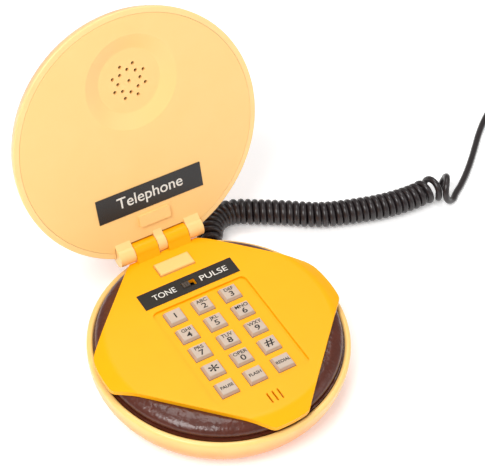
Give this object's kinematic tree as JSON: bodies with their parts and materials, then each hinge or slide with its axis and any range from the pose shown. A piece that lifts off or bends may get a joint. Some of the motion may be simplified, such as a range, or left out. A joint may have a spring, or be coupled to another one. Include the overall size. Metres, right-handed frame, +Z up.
{
  "type": "novelty telephone",
  "caption": "Corded telephone shaped like a hamburger: a domed bun lid with the earpiece opens on a hinge over a cheese-slice keypad, with a curly line cord and plug.",
  "frame": {"origin": "middle of the plane that the rubber feet stand on", "axes": "+Z up, +Y from the microphone towards the hinge, +X to the right of the keypad"},
  "size_m": [0.4097, 0.1887, 0.1544],
  "materials": {
    "bottom_bun_plastic": "gloss",
    "top_bun_plastic": "gloss",
    "patty_plastic": "gloss",
    "cheese_plastic": "gloss",
    "key_plastic": "satin",
    "cover_plastic": "satin",
    "black_label": "gloss",
    "strip_black": "matte",
    "black_rubber": "matte",
    "cord_black": "satin",
    "steel": "satin",
    "board_green": "satin",
    "component_black": "matte",
    "membrane_rubber": "matte",
    "switch_white": "satin",
    "aluminium_can": "satin",
    "clear_plug": "gloss",
    "contact_brass": "polished"
  },
  "bodies": {
    "base": {"ballast_plate": "steel", "base_screws": "steel", "board_components": "component_black", "board_screws": "steel", "bottom_bun": "bottom_bun_plastic", "cheese_plate": "cheese_plastic", "cheese_screws": "steel", "coil_tie": "black_rubber", "cord_coil": "cord_black", "cord_end": "cord_black", "cord_tail": "cord_black", "curly_cord": "cord_black", "hinge_pin": "steel", "hook_switch": "component_black", "keypad_membrane": "membrane_rubber", "line_plug": "clear_plug", "main_board": "board_green", "microphone": "aluminium_can", "microphone_boot": "black_rubber", "patty": "patty_plastic", "plug_contacts": "contact_brass", "ringer": "component_black", "rubber_feet": "black_rubber", "strain_relief": "black_rubber", "strip_label": "strip_black", "tone_switch": "component_black"},
    "lid": {"lid_cover": "cover_plastic", "lid_label": "black_label", "receiver": "component_black", "receiver_screws": "steel", "receiver_strap": "steel", "top_bun": "top_bun_plastic"},
    "hook": {"hook_button": "key_plastic"},
    "slider": {"tone_slider": "switch_white"},
    "key_0": {"key_0": "key_plastic"},
    "key_1": {"key_1": "key_plastic"},
    "key_2": {"key_2": "key_plastic"},
    "key_3": {"key_3": "key_plastic"},
    "key_4": {"key_4": "key_plastic"},
    "key_5": {"key_5": "key_plastic"},
    "key_6": {"key_6": "key_plastic"},
    "key_7": {"key_7": "key_plastic"},
    "key_8": {"key_8": "key_plastic"},
    "key_9": {"key_9": "key_plastic"},
    "key_flash": {"key_flash": "key_plastic"},
    "key_hash": {"key_hash": "key_plastic"},
    "key_pause": {"key_pause": "key_plastic"},
    "key_redial": {"key_redial": "key_plastic"},
    "key_star": {"key_star": "key_plastic"}
  },
  "joints": [
    {"name": "lid_hinge", "type": "hinge", "parent": "base", "child": "lid", "pos_m": [0, 0.0607, 0.03488], "axis": [1, 0, 0], "range_deg": [0, 108.6]},
    {"name": "hook_slide", "type": "slide", "parent": "base", "child": "hook", "axis": [0, 0, -1], "range_m": [0, 0.0012]},
    {"name": "tone_slide", "type": "slide", "parent": "base", "child": "slider", "axis": [1, 0, 0], "range_m": [0, 0.0031]},
    {"name": "key_0_press", "type": "slide", "parent": "base", "child": "key_0", "axis": [0, 0, -1], "range_m": [0, 0.0012], "stiffness_N_per_m": 400, "springref_m": -0.0005},
    {"name": "key_1_press", "type": "slide", "parent": "base", "child": "key_1", "axis": [0, 0, -1], "range_m": [0, 0.0012], "stiffness_N_per_m": 400, "springref_m": -0.0005},
    {"name": "key_2_press", "type": "slide", "parent": "base", "child": "key_2", "axis": [0, 0, -1], "range_m": [0, 0.0012], "stiffness_N_per_m": 400, "springref_m": -0.0005},
    {"name": "key_3_press", "type": "slide", "parent": "base", "child": "key_3", "axis": [0, 0, -1], "range_m": [0, 0.0012], "stiffness_N_per_m": 400, "springref_m": -0.0005},
    {"name": "key_4_press", "type": "slide", "parent": "base", "child": "key_4", "axis": [0, 0, -1], "range_m": [0, 0.0012], "stiffness_N_per_m": 400, "springref_m": -0.0005},
    {"name": "key_5_press", "type": "slide", "parent": "base", "child": "key_5", "axis": [0, 0, -1], "range_m": [0, 0.0012], "stiffness_N_per_m": 400, "springref_m": -0.0005},
    {"name": "key_6_press", "type": "slide", "parent": "base", "child": "key_6", "axis": [0, 0, -1], "range_m": [0, 0.0012], "stiffness_N_per_m": 400, "springref_m": -0.0005},
    {"name": "key_7_press", "type": "slide", "parent": "base", "child": "key_7", "axis": [0, 0, -1], "range_m": [0, 0.0012], "stiffness_N_per_m": 400, "springref_m": -0.0005},
    {"name": "key_8_press", "type": "slide", "parent": "base", "child": "key_8", "axis": [0, 0, -1], "range_m": [0, 0.0012], "stiffness_N_per_m": 400, "springref_m": -0.0005},
    {"name": "key_9_press", "type": "slide", "parent": "base", "child": "key_9", "axis": [0, 0, -1], "range_m": [0, 0.0012], "stiffness_N_per_m": 400, "springref_m": -0.0005},
    {"name": "key_flash_press", "type": "slide", "parent": "base", "child": "key_flash", "axis": [0, 0, -1], "range_m": [0, 0.0012], "stiffness_N_per_m": 400, "springref_m": -0.0005},
    {"name": "key_hash_press", "type": "slide", "parent": "base", "child": "key_hash", "axis": [0, 0, -1], "range_m": [0, 0.0012], "stiffness_N_per_m": 400, "springref_m": -0.0005},
    {"name": "key_pause_press", "type": "slide", "parent": "base", "child": "key_pause", "axis": [0, 0, -1], "range_m": [0, 0.0012], "stiffness_N_per_m": 400, "springref_m": -0.0005},
    {"name": "key_redial_press", "type": "slide", "parent": "base", "child": "key_redial", "axis": [0, 0, -1], "range_m": [0, 0.0012], "stiffness_N_per_m": 400, "springref_m": -0.0005},
    {"name": "key_star_press", "type": "slide", "parent": "base", "child": "key_star", "axis": [0, 0, -1], "range_m": [0, 0.0012], "stiffness_N_per_m": 400, "springref_m": -0.0005}
  ],
  "couplings": [
    {"joint": "hook_slide", "follows": "lid_hinge", "m_per_rad": 0.00063304}
  ]
}
